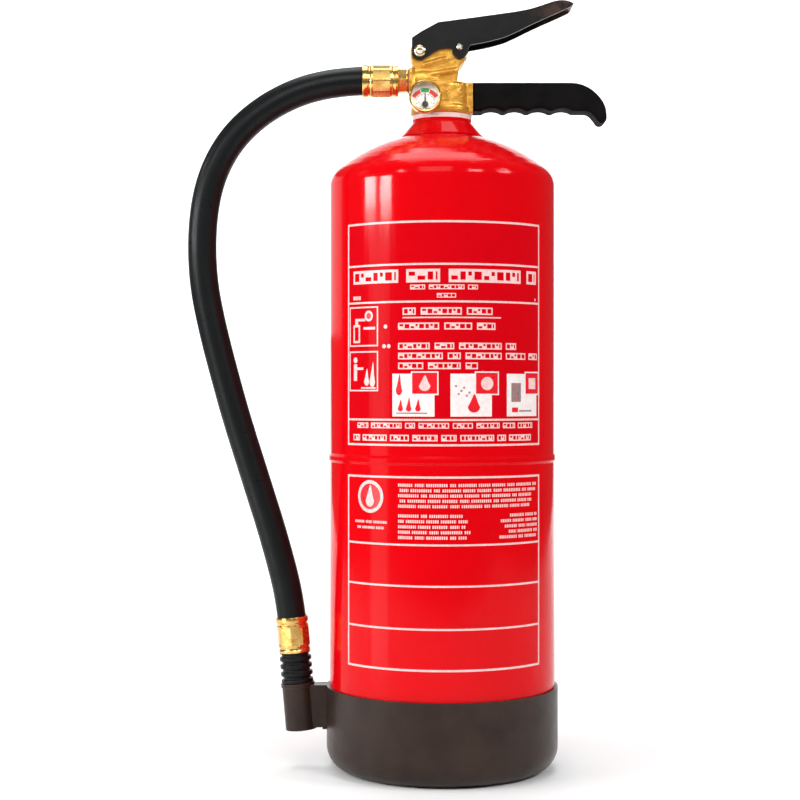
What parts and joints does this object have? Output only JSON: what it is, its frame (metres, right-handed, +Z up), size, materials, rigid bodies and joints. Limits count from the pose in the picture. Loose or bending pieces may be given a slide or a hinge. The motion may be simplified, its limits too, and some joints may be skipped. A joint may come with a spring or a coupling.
{
  "type": "fire extinguisher",
  "caption": "Portable stored-pressure powder fire extinguisher with squeeze lever, safety pin, pressure gauge, side hose with nozzle in its holder, and a plastic foot",
  "frame": {"origin": "centre of the flat foot of the boot, on the floor, on the cylinder's axis", "axes": "+Z up along the cylinder; -Y is the front, with the label and the gauge; +X is the side of the lever and carrying grip; the hose runs down on -X"},
  "size_m": [0.279, 0.154, 0.5097],
  "materials": {
    "red_steel": "gloss",
    "red_weld": "gloss",
    "red_ring": "gloss",
    "powder": "matte",
    "boot_plastic": "satin",
    "holder_plastic": "satin",
    "seal_rubber": "matte",
    "forged_brass": "satin",
    "plug_brass": "satin",
    "tube_plastic": "satin",
    "spring_steel": "polished",
    "stem_steel": "polished",
    "stem_rubber": "matte",
    "oring_rubber": "matte",
    "rivet_steel": "polished",
    "black_steel": "satin",
    "pin_steel": "polished",
    "tang_steel": "raw",
    "dowel_steel": "raw",
    "grip_plastic": "satin",
    "adaptor_brass": "polished",
    "washer_fibre": "matte",
    "crimped_brass": "polished",
    "hose_rubber": "satin",
    "nozzle_crimped_brass": "polished",
    "nipple_brass": "polished",
    "nozzle_plastic": "satin",
    "case_brass": "polished",
    "bezel_brass": "polished",
    "dial_paint": "painted",
    "needle_paint": "painted",
    "lens_plastic": "clear",
    "bourdon_bronze": "satin",
    "gauge_fibre": "matte"
  },
  "bodies": {
    "cylinder": {"lower_shell": "red_steel", "upper_shell": "red_steel", "girth_weld": "red_weld", "neck_ring": "red_ring", "powder_charge": "powder", "base_boot": "boot_plastic", "nozzle_holder": "holder_plastic", "neck_seal": "seal_rubber", "valve_body": "forged_brass", "spring_plug": "plug_brass", "dip_tube": "tube_plastic", "valve_spring": "spring_steel", "stem_oring": "oring_rubber", "pivot_rivet": "rivet_steel", "handle_tang": "tang_steel", "tang_dowel": "dowel_steel", "carry_grip": "grip_plastic", "outlet_adaptor": "adaptor_brass", "outlet_washer": "washer_fibre", "outlet_ferrule": "crimped_brass", "hose": "hose_rubber", "gauge_case": "case_brass", "gauge_bezel": "bezel_brass", "gauge_dial": "dial_paint", "gauge_lens": "lens_plastic", "bourdon_tube": "bourdon_bronze", "gauge_washer": "gauge_fibre"},
    "lever": {"squeeze_lever": "black_steel"},
    "stem": {"valve_stem": "stem_steel", "stem_seal": "stem_rubber"},
    "pin": {"safety_pin": "pin_steel"},
    "needle": {"gauge_needle": "needle_paint"},
    "nozzle": {"nozzle_body": "nozzle_plastic", "nozzle_nipple": "nipple_brass", "nozzle_ferrule": "nozzle_crimped_brass"}
  },
  "joints": [
    {"name": "lever_squeeze", "type": "hinge", "parent": "cylinder", "child": "lever", "pos_m": [-0.015, 0, 0.47598], "axis": [0, 1, 0], "range_deg": [0, 11], "stiffness_Nm_per_rad": 1.5, "springref_deg": -8.59},
    {"name": "stem_press", "type": "slide", "parent": "cylinder", "child": "stem", "axis": [0, 0, -1], "range_m": [0, 0.0034], "deforming": ["valve_spring"]},
    {"name": "pin_pull", "type": "slide", "parent": "lever", "child": "pin", "axis": [0, 1, 0], "range_m": [0, 0.03]},
    {"name": "needle_turn", "type": "hinge", "parent": "cylinder", "child": "needle", "pos_m": [-0.0116, -0.0225, 0.43878], "axis": [0, 1, 0], "range_deg": [-58, 58], "stiffness_Nm_per_rad": 0.0004},
    {"name": "nozzle_pull", "type": "slide", "parent": "cylinder", "child": "nozzle", "axis": [-0.0872, 0, 0.9962], "range_m": [0, 0.034], "deforming": ["hose"]}
  ],
  "couplings": [
    {"joint": "stem_press", "follows": "lever_squeeze", "m_per_rad": 0.01725}
  ]
}
